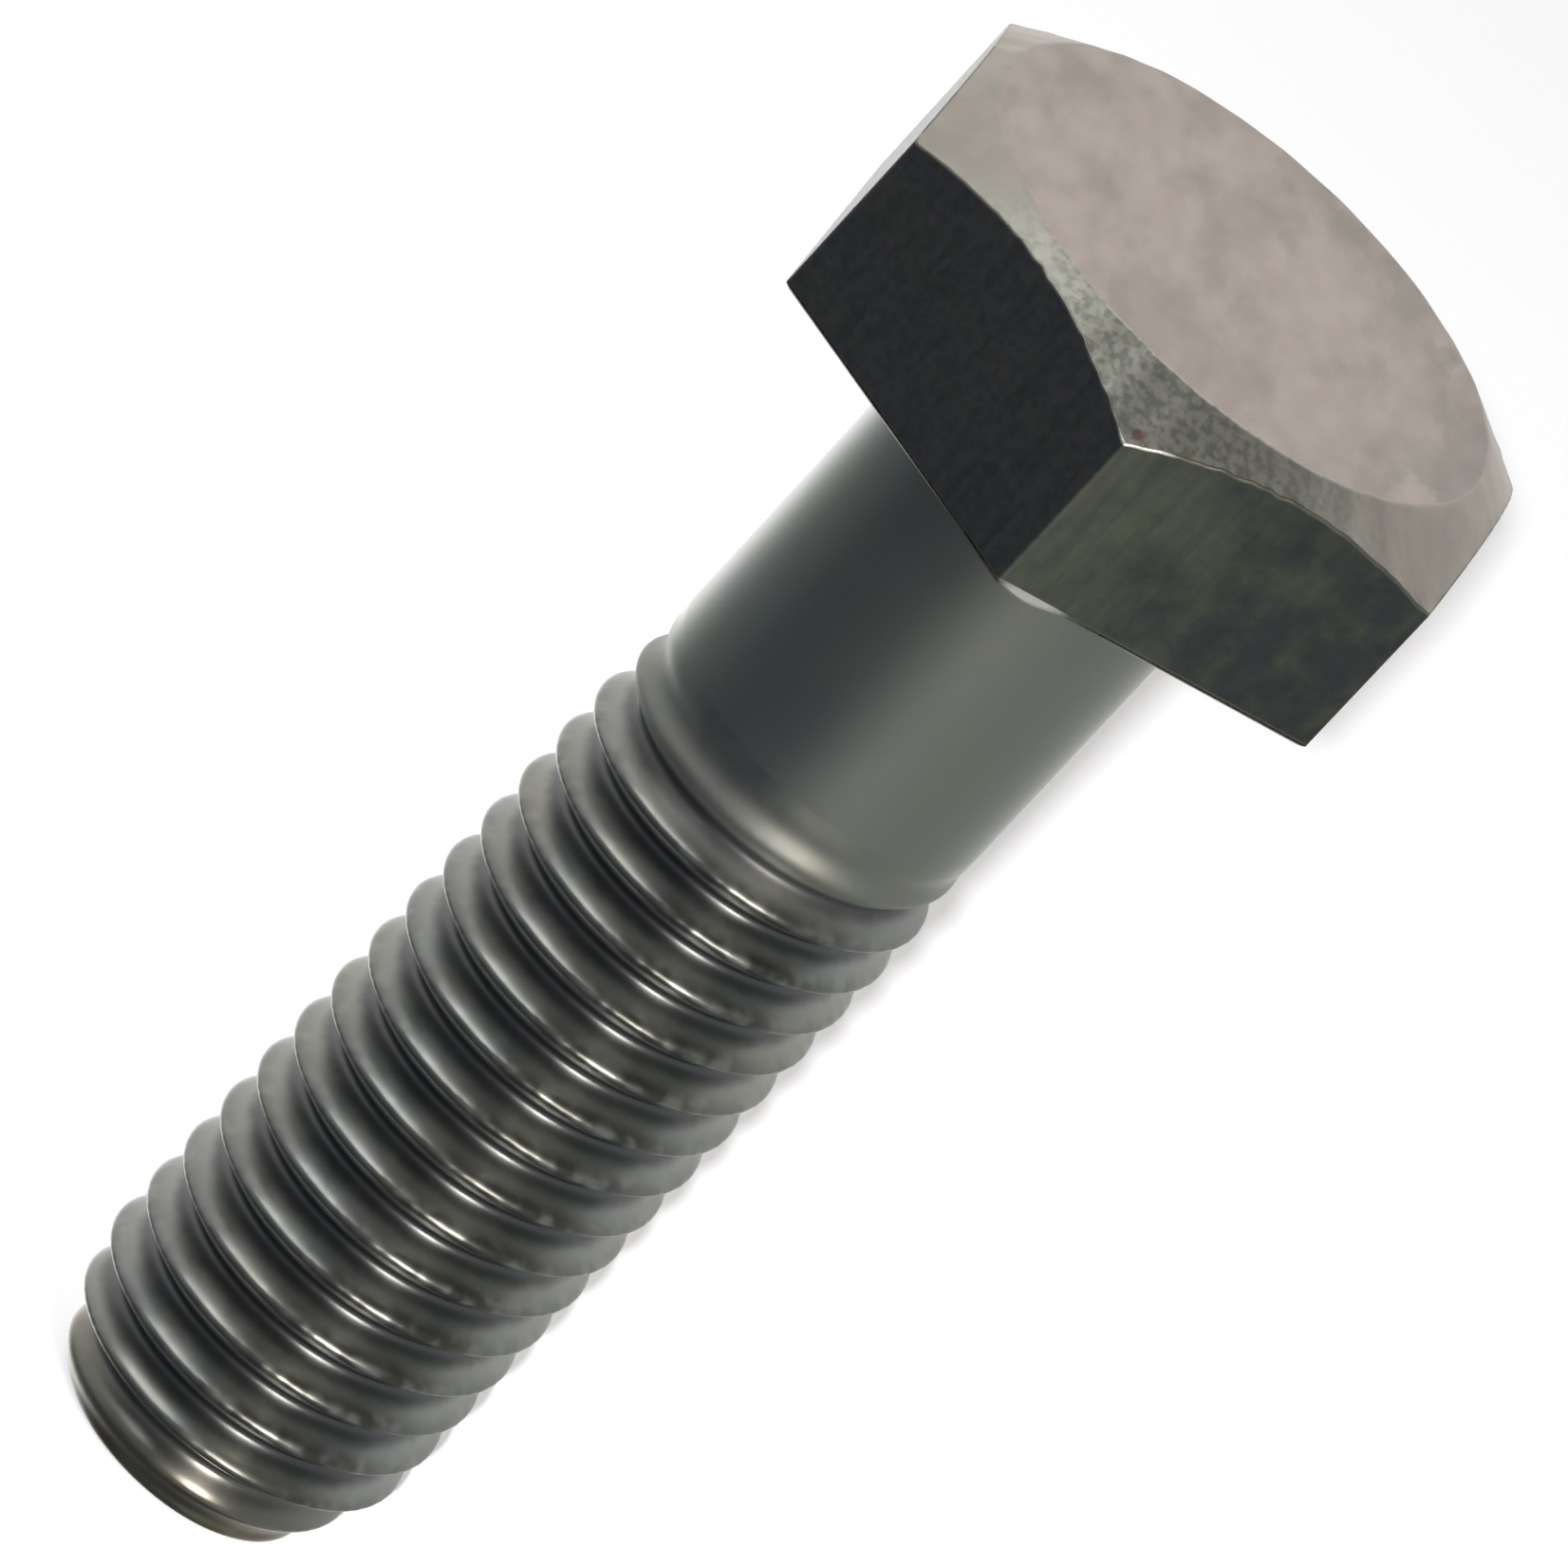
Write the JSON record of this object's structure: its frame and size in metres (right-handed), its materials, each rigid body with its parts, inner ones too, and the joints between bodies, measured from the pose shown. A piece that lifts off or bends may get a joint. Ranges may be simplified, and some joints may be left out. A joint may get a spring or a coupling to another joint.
{
  "type": "hex bolt",
  "caption": "Hexagon-head steel bolt with a plain shank, a coarse right-hand thread and a tapered end.",
  "frame": {"origin": "centre of the flat thread end, where the bolt stands on its tip", "axes": "+Z along the bolt's axis from the thread end to the head; +X and -X point out of two opposite wrench flats; +Y points at a corner of the hexagon"},
  "size_m": [0.0166, 0.0192, 0.0424],
  "materials": {
    "steel": "dark lightly oiled steel, satin"
  },
  "bodies": {
    "root": {"hex_bolt": "steel"}
  },
  "joints": []
}
